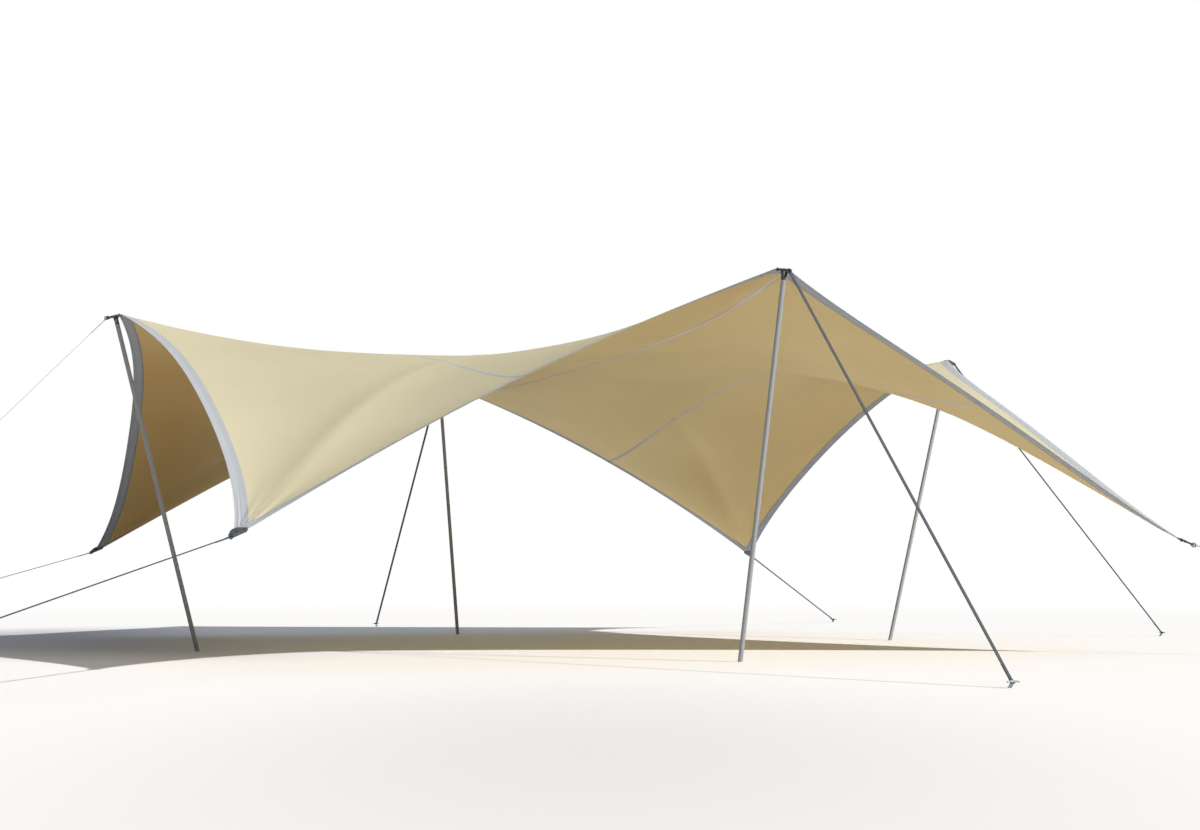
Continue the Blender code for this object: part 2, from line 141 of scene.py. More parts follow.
def turned(profile, sides):
    # a profile of (radius, height) turned about z
    profile = np.asarray(profile, float)
    flat = profile[:, None, :1] * ringOf(1.0, sides)[None]
    return np.concatenate([flat, np.repeat(profile[:, None, 1:], sides, 1)], 2)


class Piece:
    # gathers grids of points, and makes one mesh of them

    def __init__(self, name):
        self.name, self.points, self.faces, self.uvs, self.count = name, [], [], [], 0

    def grid(self, points, wrap=False, closed=False, caps=False, uv=None, place=np.eye(4)):
        # rows follow the path and columns go round the section; the UV map, unless it is
        # given, is metres along the path and metres round the section
        points = through(place, points)
        if wrap:
            points = np.concatenate([points, points[:, :1]], 1)
        if closed:
            points = np.concatenate([points, points[:1]], 0)
        rows, columns = points.shape[:2]
        if uv is None:
            along = np.linalg.norm(np.diff(points, axis=0), axis=2).max(1)
            around = np.linalg.norm(np.diff(points, axis=1), axis=2).max(0)
            u, v = np.append(0, np.cumsum(along)), np.append(0, np.cumsum(around))
            uv = np.stack(np.broadcast_arrays(u[:, None], v), 2)
        corner = np.arange(rows * columns).reshape(rows, columns) + self.count
        quads = np.stack([corner[:-1, :-1], corner[1:, :-1], corner[1:, 1:], corner[:-1, 1:]], 2)
        self.faces += quads.reshape(-1, 4).tolist()
        if caps:
            self.faces += [corner[0, :-1].tolist(), corner[-1, -2::-1].tolist()]
        self.points.append(points.reshape(-1, 3))
        self.uvs.append(uv.reshape(-1, 2))
        self.count += rows * columns
        return self

    def turn(self, profile, sides, place, closed=False):
        return self.grid(turned(profile, sides), wrap=True, closed=closed, place=place)

    def wire(self, path, radius, side, sides=12):
        return self.grid(carried(path, ringOf(radius, sides), side, closed=True), wrap=True, closed=True)

    def done(self, finish, slot="dark_steel", replaced=(), **more):
        mesh = bpy.data.meshes.new(self.name)
        mesh.from_pydata(np.concatenate(self.points).tolist(), [], self.faces)
        layer = mesh.uv_layers.new(name="metres")
        order = np.zeros(len(mesh.loops), np.int32)
        mesh.loops.foreach_get("vertex_index", order)
        layer.data.foreach_set("uv", np.concatenate(self.uvs)[order].astype(np.float32).ravel())
        return settle(mesh, self.name, finish, slot, replaced, **more)


def settle(mesh, name, finish, slot, replaced=(), sharp=38, smoothFaces=True, up=False):
    # closes seams and poles, turns the faces outwards (or an open sheet's upwards),
    # parents the piece to the root body and hides the nodes it replaces
    work = bmesh.new()
    work.from_mesh(mesh)
    bmesh.ops.remove_doubles(work, verts=work.verts, dist=0.00001)
    bmesh.ops.recalc_face_normals(work, faces=work.faces)
    work.faces.ensure_lookup_table()
    if up and work.faces[0].normal.z < 0:
        bmesh.ops.reverse_faces(work, faces=work.faces)
    work.to_mesh(mesh)
    work.free()
    if smoothFaces:
        mesh.shade_smooth()
        mesh.set_sharp_from_angle(angle=math.radians(sharp))
    mesh.materials.append(finish)
    piece = bpy.data.objects.new(name, mesh)
    scene.collection.objects.link(piece)
    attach(piece, "root")
    if replaced:
        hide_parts(*replaced)
    return piece


# Shader graphs

class Wire:
    # a socket's value, with the arithmetic that adds Math nodes
    def __init__(self, graph, socket):
        self.graph, self.socket = graph, socket

    def math(self, operation, *others):
        return self.graph.node("Math", dict(enumerate((self, *others))), {"operation": operation})

    __add__ = __radd__ = lambda self, other: self.math("ADD", other)
    __mul__ = __rmul__ = lambda self, other: self.math("MULTIPLY", other)
    __sub__ = lambda self, other: self.math("SUBTRACT", other)
    __rsub__ = lambda self, other: self * -1.0 + other
    __truediv__ = lambda self, other: self.math("DIVIDE", other)
    __pow__ = lambda self, other: self.math("POWER", other)
    __abs__ = lambda self: self.math("ABSOLUTE")

    def band(self, low, high):
        # 0 at low, 1 at high, smooth between
        return self.graph.node("MapRange", {"Value": self, "From Min": low, "From Max": high},
                               {"interpolation_type": "SMOOTHSTEP"})


class Graph:
    def __init__(self, name, owner=None):
        self.owner = owner or bpy.data.materials.new(name)
        self.owner.use_nodes = True
        self.tree = self.owner.node_tree
        self.tree.nodes.clear()

    def node(self, kind, inputs=None, settings=None, output=0):
        made = self.tree.nodes.new("ShaderNode" + kind)
        for key, value in (settings or {}).items():
            setattr(made, key, value)
        for key, value in (inputs or {}).items():
            if isinstance(value, Wire):
                self.tree.links.new(value.socket, made.inputs[key])
            else:
                colour = made.inputs[key].type == "RGBA"
                made.inputs[key].default_value = (*value, 1.0) if colour else value
        return Wire(self, made.outputs[output]) if made.outputs else None

    def coordinates(self, source="Object", scale=(1, 1, 1)):
        place = self.node("TexCoord", output=source)
        return self.node("Mapping", {"Vector": place, "Scale": scale})

    def noise(self, place, scale, detail=3.0, roughness=0.5):
        return self.node("TexNoise", {"Vector": place, "Scale": scale, "Detail": detail,
                                      "Roughness": roughness})

    def parts(self, vector):
        split = self.node("SeparateXYZ", {0: vector})
        return [Wire(self, socket) for socket in split.socket.node.outputs]

    def mix(self, factor, first, second, blend="MIX"):
        return self.node("Mix", {0: factor, 6: first, 7: second},
                         {"data_type": "RGBA", "blend_type": blend}, output=2)

    def tinted(self, colour, tint):
        return self.mix(1.0, colour, tint, "MULTIPLY")

    def bump(self, height, distance):
        return self.node("Bump", {"Height": height, "Distance": distance, "Strength": 1.0})

    def surface(self, colour, roughness, **others):
        others = {key.replace("_", " "): value for key, value in others.items()}
        return self.node("BsdfPrincipled", {"Base Color": colour, "Roughness": roughness, **others})

    def finish(self, shader, output="OutputMaterial"):
        self.node(output, {"Surface": shader})
        return self.owner

    def either(self, factor, first, second, output="OutputMaterial"):
        return self.finish(self.node("MixShader", {0: factor, 1: first, 2: second}), output)

    def glowing(self, share, face, colour, normal):
        # a face that lets this share of the light through, in a colour of its own
        return self.either(share, face, self.node("BsdfTranslucent", {"Color": colour, "Normal": normal}))


def distance(x, y):
    return (x ** 2.0 + y ** 2.0) ** 0.5


# Each face of the cloth passes light, so the sheet glows where the sun is behind it

cloth = {
    # the underside is the same cloth painted darker and warmer: its tone is painted shade
    "top": (0.634, 0.615, 0.470), "under": (0.482, 0.322, 0.118),
    "through": (0.815, 0.784, 0.650), "share": 0.46,
    # over the back left wing the underside is painted darker and warmer, as shade: there x and y pass
    # through these bands
    "wingShadeTint": (0.95, 0.81, 0.63), "wingShadeAcross": (-2.0, -3.6), "wingShadeBack": (-0.5, 1.0),
    # and right of the middle it is painted darker at the front and lighter at the back, as painted shade and
    # light
    "paintedLightRightFrom": (-1.0, 0.8), "paintedLightAlong": (-1.6, 1.6), "rise": (0.965, 1.05),
    # sizes of the patterns, and what each adds to the shade
    "mottleScale": 0.9, "slubScale": (1.1, 55.0, 1.0), "endScale": (38.0, 0.8, 1.0), "threads": 620.0,
    "base": 0.86, "mottle": 0.14, "slubs": 0.09, "ends": 0.05, "weave": 0.012,
    "puckerScale": 7.0, "puckers": 0.9, "relief": 0.0014, "roughness": 0.78,
}


def clothMaterial(name, tone, paintedLightAndShade=False):
    # soft mottling, slubs along the width of the cloth, thicker threads down its length, a
    # plain weave and shallow puckers
    g = Graph(name)
    place = g.coordinates()
    mottle = g.noise(place, cloth["mottleScale"], 4.0)
    slubs = g.noise(g.coordinates(scale=cloth["slubScale"]), 2.2, 3.0, 0.6)
    ends = g.noise(g.coordinates(scale=cloth["endScale"]), 2.0, 2.0, 0.6)
    x, y = g.parts(place)[:2]
    weave = (x * cloth["threads"]).math("SINE") * (y * cloth["threads"]).math("SINE")
    shade = cloth["base"] + mottle * cloth["mottle"] + slubs * cloth["slubs"]
    shade = shade + ends * cloth["ends"] + weave * cloth["weave"]
    tint = g.node("CombineXYZ", {0: shade, 1: shade, 2: shade * 0.985 + mottle * 0.02})
    # the underside only: painted shade over the back left wing, and painted light and shade right of the
    # middle
    if paintedLightAndShade:
        # painted shade and light: right of the middle the tone rises from front to back
        low, high = cloth["rise"]
        rise = y.band(*cloth["paintedLightAlong"]) * (high - low) + (low - 1.0)
        paintedLightFactor = x.band(*cloth["paintedLightRightFrom"]) * rise + 1.0
        tint = g.node("VectorMath", {0: tint, "Scale": paintedLightFactor}, {"operation": "SCALE"})
        # painted shade: darker and warmer over the back left wing
        wing = x.band(*cloth["wingShadeAcross"]) * y.band(*cloth["wingShadeBack"])
        tint = g.tinted(tint, g.mix(wing, (1.0, 1.0, 1.0), cloth["wingShadeTint"]))
    puckers = g.noise(place, cloth["puckerScale"], 1.0, 0.4)
    normal = g.bump(slubs * 0.02 + puckers * cloth["puckers"], cloth["relief"])
    front = g.tinted(tone, tint)
    face = g.surface(front, cloth["roughness"] + slubs * 0.1, Normal=normal, Specular_IOR_Level=0.0)
    return g.glowing(cloth["share"], face, g.tinted(cloth["through"], tint), normal)


webbed = {
    # the faces that look down: hems take a darker tone, painted shade, and seam tapes a lighter one, painted
    # light
    "front": (0.455, 0.484, 0.518), "under": (0.290, 0.303, 0.318), "tapeUnderPaintedLight": (0.520, 0.520, 0.575),
    "through": (0.700, 0.720, 0.735), "share": 0.38, "tapeShare": 0.15,
    "ribs": 2800.0, "picks": 2300.0,        # radians in a metre
    "foldWidth": 0.036, "underFold": 0.80,  # the share of the light that the fold leaves
    "hemStitches": (0.004, 0.032, 0.0385, 0.087), "tapeStitches": (0.002, 0.024),
    "stitchLength": 0.004, "thread": (0.66, 0.68, 0.70),
}


def hemMaterial(name, tone, folded):
    # a close grey weave; two layers under the outer fold pass less light, and rows of
    # stitches run along the band
    g = Graph(name)
    u, v = g.parts(g.node("TexCoord", output="UV"))[:2]
    mottle = g.noise(g.coordinates(), 5.0, 4.0)
    ribs = (v * webbed["ribs"]).math("SINE")
    picks = (u * webbed["picks"]).math("SINE")
    shade = 0.90 + mottle * 0.18 + ribs * 0.015
    colour = g.mix(shade, (0.0, 0.0, 0.0), tone)
    relief = (ribs + picks) * 0.003 + mottle * 0.2
    for line in webbed["hemStitches" if folded else "tapeStitches"]:
        near = 1.0 - abs(v - line).band(0.0003, 0.0011)
        dash = (u / webbed["stitchLength"]).math("FRACT")
        thread = near * (1.0 - abs(dash - 0.5).band(0.34, 0.44))
        relief = relief - near * 0.02 + thread * 0.03
        colour = g.mix(thread * 0.5, colour, webbed["thread"])
    normal = g.bump(relief, 0.0006)
    face = g.surface(colour, 0.74, Normal=normal, Specular_IOR_Level=0.0)
    share = webbed["share" if folded else "tapeShare"]
    if folded:
        fold, under = webbed["foldWidth"], webbed["underFold"]
        share = share * (under + (1 - under) * v.band(fold - 0.002, fold + 0.002))
    return g.glowing(share, face, webbed["through"], normal)


anodised = {"dark": (0.235, 0.247, 0.262), "light": (0.270, 0.283, 0.300), "scuff": (0.19, 0.20, 0.21)}


def poleMaterial():
    # drawn and anodised tube: long fine streaks, faint handling marks
    g = Graph("anodisedTube")
    streaks = g.noise(g.coordinates("UV", scale=(3.0, 900.0, 1.0)), 1.0, 3.0, 0.6)
    marks = g.noise(g.coordinates(), 30.0, 5.0, 0.65)
    scuffs = marks.band(0.58, 0.75)
    colour = g.mix(streaks.band(0.3, 0.7), anodised["dark"], anodised["light"])
    colour = g.mix(scuffs * 0.25, colour, anodised["scuff"])
    rough = 0.50 + streaks * 0.05 + scuffs * 0.08
    return g.finish(g.surface(colour, rough, Normal=g.bump(marks, 0.00004), Metallic=0.05))


# Dark and light tone, size of the clouds, roughness and metallic value
steels = {
    "slateCoatedSteel": ((0.040, 0.052, 0.065), (0.057, 0.073, 0.090), 60.0, 0.50, 0.0),
    "blackCoatedSteel": ((0.012, 0.014, 0.017), (0.024, 0.028, 0.032), 60.0, 0.48, 0.0),
    "zincSteel": ((0.20, 0.23, 0.26), (0.30, 0.34, 0.38), 90.0, 0.46, 0.45),
}


def steelMaterial(name, dark, light, grain, rough, metallic):
    # coated or galvanised steel: cloudy colour, fine orange-peel relief, rubbed patches
    g = Graph(name)
    place = g.coordinates()
    clouds = g.noise(place, grain, 4.0, 0.6)
    peel = g.noise(place, grain * 16.0, 2.0)
    rubbed = g.noise(place, grain * 2.7, 5.0, 0.7).band(0.60, 0.74)
    colour = g.mix(clouds.band(0.3, 0.7), dark, light)
    colour = g.mix(rubbed * 0.30, colour, [min(1.0, c * 1.7 + 0.03) for c in light])
    normal = g.bump(peel * 0.5 + clouds * 0.5, 0.0001)
    return g.finish(g.surface(colour, rough + rubbed * 0.12, Normal=normal, Metallic=metallic))


def plasticMaterial():
    # moulded black plastic, finely textured
    g = Graph("mouldedPlastic")
    grain = g.noise(g.coordinates(), 900.0, 3.0)
    clouds = g.noise(g.coordinates(), 60.0, 3.0)
    colour = g.mix(clouds, (0.018, 0.020, 0.022), (0.035, 0.037, 0.040))
    return g.finish(g.surface(colour, 0.48 + grain * 0.12, Normal=g.bump(grain, 0.0002)))


strapCloth = {
    "edge": (0.030, 0.036, 0.043), "middle": (0.068, 0.080, 0.094), "fibre": (0.105, 0.117, 0.130),
    "width": 0.025,
}


def strapMaterial():
    # slate webbing: herringbone ribs, a paler stripe down the middle and dark selvedges
    g = Graph("guyWebbing")
    u, v = g.parts(g.node("TexCoord", output="UV"))[:2]
    width = strapCloth["width"]
    place = abs((v / width).math("FRACT") - 0.5) * 2.0
    middle = 1.0 - place.band(0.30, 0.52)
    fibres = g.noise(g.coordinates("UV", scale=(60.0, 1600.0, 1.0)), 1.0, 3.0)
    ribs = (place * (width * 450.0) + u * 1500.0).math("SINE")
    colour = g.mix(middle * 0.8, strapCloth["edge"], strapCloth["middle"])
    colour = g.mix(fibres.band(0.35, 0.75) * 0.3, colour, strapCloth["fibre"])
    normal = g.bump(ribs * 0.5 + fibres * 0.4, 0.0001)
    return g.finish(g.surface(colour, 0.72 + fibres * 0.1, Normal=normal, Specular_IOR_Level=0.35))


ground = {
    "near": (0.85, 0.85, 0.85), "shade": 0.84, "fade": (9.0, 30.0),
    # the patch of painted shade: its middle, its length away from the camera and its width
    "middle": (-3.75, -9.75), "heading": 22.5, "length": 7.0, "width": 2.8,
    # under the tent a shadow is painted on the floor: cooler, to cancel the warm light through the cloth,
    # and darker at the left
    "under": (0.79, 0.84, 0.91), "shadowLeft": (0.44, 0.465, 0.505), "leftToRight": (-4.4, -1.9),
    "shadowMiddle": (-2.3, 3.2), "shadowReach": (2.5, 6.0),
}


def floorMaterial():
    # pale and matt, with painted shade in front of the tent, a cooler painted shadow under it, and white far
    # away
    g = Graph("paleFloor")
    x, y = g.parts(g.coordinates())[:2]
    heading = math.radians(ground["heading"])
    right, back = x - ground["middle"][0], y - ground["middle"][1]
    away = (right * math.sin(heading) + back * math.cos(heading)) / ground["length"]
    across = (right * math.cos(heading) - back * math.sin(heading)) / ground["width"]
    paintedShadeTone = [c * ground["shade"] for c in ground["near"]]
    colour = g.mix(1.0 - distance(away, across).band(0.0, 1.0), ground["near"], paintedShadeTone)
    # painted shadow under the tent: cooler, and darker towards the left
    middleX, middleY = ground["shadowMiddle"]
    under = 1.0 - distance(x - middleX, y - middleY).band(*ground["shadowReach"])
    leftToRight = x.band(*ground["leftToRight"])
    paintedShadow = g.mix(leftToRight, ground["shadowLeft"], ground["under"])
    face = g.surface(g.mix(under, colour, paintedShadow), 0.6, Specular_IOR_Level=0.2)
    white = g.node("Emission", {"Color": (1.0, 1.0, 1.0), "Strength": 1.0})
    return g.either(distance(x, y).band(*ground["fade"]), face, white)


topFinish = clothMaterial("canopyCloth", cloth["top"])
paintedShadeUnderFinish = clothMaterial("canopyUndersidePaintedShade", cloth["under"], paintedLightAndShade=True)
hemFinishes = (hemMaterial("hemCloth", webbed["front"], True),
               hemMaterial("hemUndersidePaintedShade", webbed["under"], True))
tapeFinishes = (hemMaterial("seamTape", webbed["front"], False),
                hemMaterial("seamTapeUndersidePaintedLight", webbed["tapeUnderPaintedLight"], False))
poleFinish = poleMaterial()
darkFinish, blackFinish, zincFinish = [steelMaterial(name, *steel) for name, steel in steels.items()]
plasticFinish = plasticMaterial()
strapFinish = strapMaterial()
print("materials made")


# The form of the pitched sheet

def edgeCurve(t):
    # from the high point on +X (t = 0) to the low corner at 45 degrees (t = 1): the chord,
    # plus 4t(1-t) times a bow inwards and upwards, plus t(1-t)(1-2t) times a skew, less
    # 16t²(1-t)² times a flattening
    t = np.atleast_1d(t)[:, None]
    half = math.sqrt(0.5)
    corner, aside = tent["lowRadius"] * half, tent["lowWidth"] / 2 * half
    start = np.array([tent["highRadius"], tent["highWidth"] / 2, tent["highLevel"]])
    end = np.array([corner + aside, corner - aside, tent["lowLevel"]])
    chord = unit(end - start)
    inward = unit(np.array([-chord[1], chord[0], 0]))
    upward = np.cross(chord, inward)
    upward *= np.sign(upward[2])
    bow, skew, flat = [tent[bend + "In"] * inward + tent[bend + "Up"] * upward
                       for bend in ("bow", "skew", "flat")]
    arch = t * (1 - t)
    return start + (end - start) * t + 4 * arch * bow + arch * (1 - 2 * t) * skew - 16 * arch ** 2 * flat


edgeLine = edgeCurve(np.linspace(0, 1, tent["samples"]))
edgeAngles = np.r_[0, np.arctan2(edgeLine[:, 1], edgeLine[:, 0]), math.pi / 4]
edgeReach = np.r_[tent["highRadius"], np.hypot(edgeLine[:, 0], edgeLine[:, 1]), tent["lowRadius"]]
edgeLevels = np.r_[tent["highLevel"], edgeLine[:, 2], tent["lowLevel"]]

creases = {
    "focus": 0.06,                      # from the plate's side to where the creases would meet
    # count, height and reach of each order at a low corner, and of the one at a high point
    "low": ((31.0, 0.0052, 0.32), (19.0, 0.0040, 0.55), (11.0, 0.0022, 0.95)),
    "high": ((15.0, 0.0022, 0.45),),
    "lowStart": (0.02, 0.12), "highStart": (0.0, 0.1), "lowPhase": 1.9, "highPhase": 1.3, "orderPhase": 2.3,
    "onHem": 0.35, "hemShare": (0.012, 0.030),      # they are lower on the stiffer hem
}


def fan(x, y, firstDirection, radius):
    # distance and angle of points as seen from the nearest corner, and that corner's number
    number = np.round((np.arctan2(y, x) - firstDirection) / (np.pi / 2))
    direction = firstDirection + number * np.pi / 2
    inward = radius + creases["focus"] - (x * np.cos(direction) + y * np.sin(direction))
    aside = -x * np.sin(direction) + y * np.cos(direction)
    return np.hypot(inward, aside), np.arctan2(aside, inward), number


def creaseHeight(x, y):
    # cosines of the angle about a corner, growing from its plate and dying away as a bell
    height = np.zeros_like(x)
    for kind, direction in (("low", np.pi / 4), ("high", 0.0)):
        r, angle, number = fan(x, y, direction, tent[kind + "Radius"])
        start, width = creases[kind + "Start"]
        grown = smooth((r - creases["focus"] - start) / width)
        for order, (count, size, reach) in enumerate(creases[kind]):
            phase = creases[kind + "Phase"] * number + creases["orderPhase"] * order
            height += grown * size * np.cos(count * angle + phase) * np.exp(-(r / reach) ** 2)
    return height


def sheetHeight(x, y):
    # a ray from the middle to the edge starts level at the crown and reaches the edge's own
    # level by a power of the share of the way; towards a low corner a trough hangs below
    # that, and the creases are added
    around = np.arctan2(y, x)
    folded = np.abs((around + np.pi / 4) % (np.pi / 2) - np.pi / 4)
    share = np.hypot(x, y) / np.interp(folded, edgeAngles, edgeReach)
    level = np.interp(folded, edgeAngles, edgeLevels)
    wave = np.cos(4 * around)
    rise = share ** (tent["crownPower"] + tent["ridgePower"] * wave)
    trough = ((1 - wave) / 2) ** 2 * 4 * share ** tent["droopPower"] * (1 - share)
    smoothForm = tent["crownLevel"] + (level - tent["crownLevel"]) * rise - tent["droop"] * trough
    first, width = creases["hemShare"]
    loose = creases["onHem"] + (1 - creases["onHem"]) * smooth((1 - share - first) / width)
    return smoothForm + creaseHeight(x, y) * loose


def onSheet(plan, lift=0.0):
    # points `lift` above the middle of the cloth, along its normal (-dz/dx, -dz/dy, 1)
    x, y, step = plan[..., 0], plan[..., 1], 0.003
    slopeX = (sheetHeight(x + step, y) - sheetHeight(x - step, y)) / (2 * step)
    slopeY = (sheetHeight(x, y + step) - sheetHeight(x, y - step)) / (2 * step)
    normal = unit(np.stack([-slopeX, -slopeY, np.ones_like(x)], -1))
    base = np.concatenate([plan, sheetHeight(x, y)[..., None]], -1)
    return base + normal * np.asarray(lift)[..., None]


def insetEdge(inset):
    # plan of the right side's edge, moved in by `inset`, with both ends carried straight on
    plan = edgeLine[:, :2]
    along = unit(np.gradient(plan, axis=0))
    inner = plan + inset * np.stack([-along[:, 1], along[:, 0]], 1)
    return np.vstack([inner[:1] - along[:1] * tent["runOn"], inner, inner[-1:] + along[-1:] * tent["runOn"]])


def insetLine(across, inset):
    # how far out that line stands at distances `across` from the side's middle
    inner = insetEdge(inset)
    return np.interp(across, inner[:, 1], inner[:, 0])


def insetCorner(inset):
    # distance along the side at which that line meets the diagonal
    across = np.linspace(2.0, tent["lowRadius"] * 0.8, tent["samples"])
    return np.interp(0.0, across - insetLine(across, inset), across)


def spread(length, cellSize, samples=4000):
    # places from 0 to length whose spacing follows cellSize(place)
    fine = np.linspace(0, length, samples)
    count = np.append(0, np.cumsum(np.diff(fine) / cellSize(fine[1:])))
    return np.interp(np.linspace(0, count[-1], int(count[-1]) + 1), count, fine)


canopy = {
    "underHem": 0.080,                  # the sheet ends inside the hem, this far from the edge
    "thickness": 0.0009, "cell": 0.060, "ridgeCell": 0.026, "cornerCell": 0.0125,
    "ridgeReach": 0.30, "cornerReach": 0.55, "flatSide": 8.50, "flatArea": 64.9,
}


def cellAlong(length, ridge, corner):
    # cell size along a side: fine at the high point's ridge and finest at the low corner
    return lambda d: (canopy["cell"] - (canopy["cell"] - ridge) * np.exp(-(d / canopy["ridgeReach"]) ** 2)
                      - (canopy["cell"] - corner) * np.exp(-((length - d) / canopy["cornerReach"]) ** 2))


def makeSheet():
    # x = w(u) X(v) and y = w(v) X(u): w is the share of the way along a side and X how far
    # out the side stands there, so the grid's four sides lie on the tent's four sides
    reach = insetCorner(canopy["underHem"])
    half = spread(reach, cellAlong(reach, canopy["ridgeCell"], canopy["cornerCell"]))
    along = np.concatenate([-half[:0:-1], half])
    out = insetLine(np.abs(along), canopy["underHem"])
    share = along / reach
    plan = np.stack([share * out[:, None], share[:, None] * out], 2)
    panels = [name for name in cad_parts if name.startswith("canopy_panel")]
    piece = Piece("stretchedSheet").grid(onSheet(plan))
    sheet = piece.done(topFinish, "canopy_fabric", panels, sharp=60, up=True)
    # the faces that look down take the underside finish, the cloth with painted shade
    sheet.data.materials.append(paintedShadeUnderFinish)
    shell = sheet.modifiers.new("thickness", "SOLIDIFY")
    shell.thickness, shell.offset, shell.material_offset = canopy["thickness"], 0.0, 1
    print("sheet of", len(along), "by", len(along), "points")
    return sheet


hem = {
    "ridgeCell": 0.016, "cornerCell": 0.009,
    # distance from the edge and half thickness there, in metres: the rounded edge, the two
    # layers of the fold, and the single band with its thin inner edge
    "section": [(0.0, 0.0), (0.0004, 0.0009), (0.0016, 0.0014)]
        + [(0.005 + 0.006 * k, 0.0015) for k in range(5)] + [(0.0335, 0.0014), (0.036, 0.0011)]
        + [(0.043 + 0.007 * k, 0.0010) for k in range(7)]
        + [(0.0895, 0.0010), (0.0912, 0.0009), (0.092, 0.0003)],
    # soft pleats along the band near a low corner: height, width and how far they run
    "pleat": 0.0026, "pleatWidth": 0.025, "pleatReach": 0.42, "pleatInner": 0.070,
}


def hemPlan():
    # outer and inner points of half a side's hem: the outer line runs along the high cut
    # end, the edge and the low cut end; the inner one between the mirror line and diagonal
    width, tip = tent["hemWidth"], tent["lowRadius"] * math.sqrt(0.5)
    off = tent["gap"] / 2 * math.sqrt(0.5)
    whole = np.vstack([[tent["highRadius"], 0], edgeLine[:, :2], [tip + off, tip - off]])
    length = np.append(0, np.cumsum(np.linalg.norm(np.diff(whole, axis=0), axis=1)))
    places = spread(length[-1], cellAlong(length[-1], hem["ridgeCell"], hem["cornerCell"]))
    kinks = [tent["highWidth"] / 2, length[-1] - tent["lowWidth"] / 2]
    places = np.sort(np.append(places, kinks))
    outer = np.stack([np.interp(places, length, whole[:, k]) for k in (0, 1)], 1)
    fromMiddle = np.r_[kinks[0] - tent["runOn"], length[1:-1], kinks[1] + tent["runOn"]]
    across = np.clip(np.interp(places, fromMiddle, insetEdge(width)[:, 1]), 0, insetCorner(width))
    inner = np.stack([insetLine(across, width), across], 1)
    last = across >= insetCorner(width) - 1e-9
    inner[last] = insetCorner(width) + np.array([off, -off])
    return outer, inner, places


def bandRound(name, loop, along, width, finishes, replaced=()):
    # a band that closes round the sheet's edge or a seam: its UV map is metres along and
    # across, and the faces that look down take a second finish, darker on hems as painted
    # shade and lighter on seam tapes as painted light
    uv = np.stack(np.broadcast_arrays(along[:, None], width), 2)
    band = Piece(name).grid(loop, wrap=True, caps=True, uv=uv)
    band = band.done(finishes[0], "hem_fabric", replaced, sharp=50)
    band.data.materials.append(finishes[1])
    normals = np.zeros(len(band.data.polygons) * 3, np.float32)
    band.data.polygons.foreach_get("normal", normals)
    band.data.polygons.foreach_set("material_index", (normals[2::3] < 0).astype(np.int32))
    return band


def makeHem(side, direction):
    outer, inner, places = hemPlan()
    section = np.array(hem["section"])
    share = (section[:, 0] / tent["hemWidth"])[None, :, None]
    half = outer[:, None] * (1 - share) + inner[:, None] * share
    plan = np.concatenate([half[:0:-1] * (1, -1), half]) @ turnAbout("z", direction)[:2, :2].T
    along = np.concatenate([-places[:0:-1], places])
    # pleats: a cosine of the distance from the edge that dies away along the band as a bell
    toCorner = places[-1] - np.abs(along)
    fade = np.exp(-(toCorner / hem["pleatReach"]) ** 2) * smooth(toCorner / 0.05)
    inside = smooth((hem["pleatInner"] - section[:, 0]) / 0.02) * smooth(section[:, 0] / 0.006)
    pleats = hem["pleat"] * np.cos(2 * np.pi * section[:, 0] / hem["pleatWidth"]) * inside * fade[:, None]
    above = onSheet(plan, pleats + section[:, 1])
    below = onSheet(plan, pleats - section[:, 1])
    loop = np.concatenate([above[:, ::-1], below[:, 1:]], 1)
    width = np.concatenate([section[::-1, 0], section[1:, 0], section[-1:, 0]])
    return bandRound(f"hemBand_{side}", loop, along, width, hemFinishes, [f"hem_{side}"])


tape = {"halfWidth": 0.013, "lift": 0.0009, "underHem": 0.05, "cell": 0.045}


def makeTape(number, place):
    # a flat loop round the sheet along a seam, from hem to hem
    reach = insetLine(abs(place), tent["hemWidth"]) + tape["underHem"]
    along = np.linspace(-reach, reach, int(2 * reach / tape["cell"]))
    across = np.array([-1.0, -0.96, -0.5, 0.0, 0.5, 0.96, 1.0]) * tape["halfWidth"]
    plan = np.stack(np.broadcast_arrays(place + across, along[:, None]), 2)
    lift = np.broadcast_to(np.array([0.4, 0.9, 1.0, 1.0, 1.0, 0.9, 0.4]) * tape["lift"], plan.shape[:2])
    loop = np.concatenate([onSheet(plan, lift), onSheet(plan, -lift)[:, ::-1]], 1)
    width = np.concatenate([across, across[::-1], across[:1]]) + tape["halfWidth"]
    return bandRound(f"seamTape_{number}", loop, along, width, tapeFinishes)


sheet = makeSheet()
hems = [makeHem(side, direction) for side, direction in highPoints.items()]
tapes = [makeTape(number + 1, place) for number, place in enumerate(tent["seams"])]
print("hems and seam tapes made")


# Corner plates and what is bolted to them

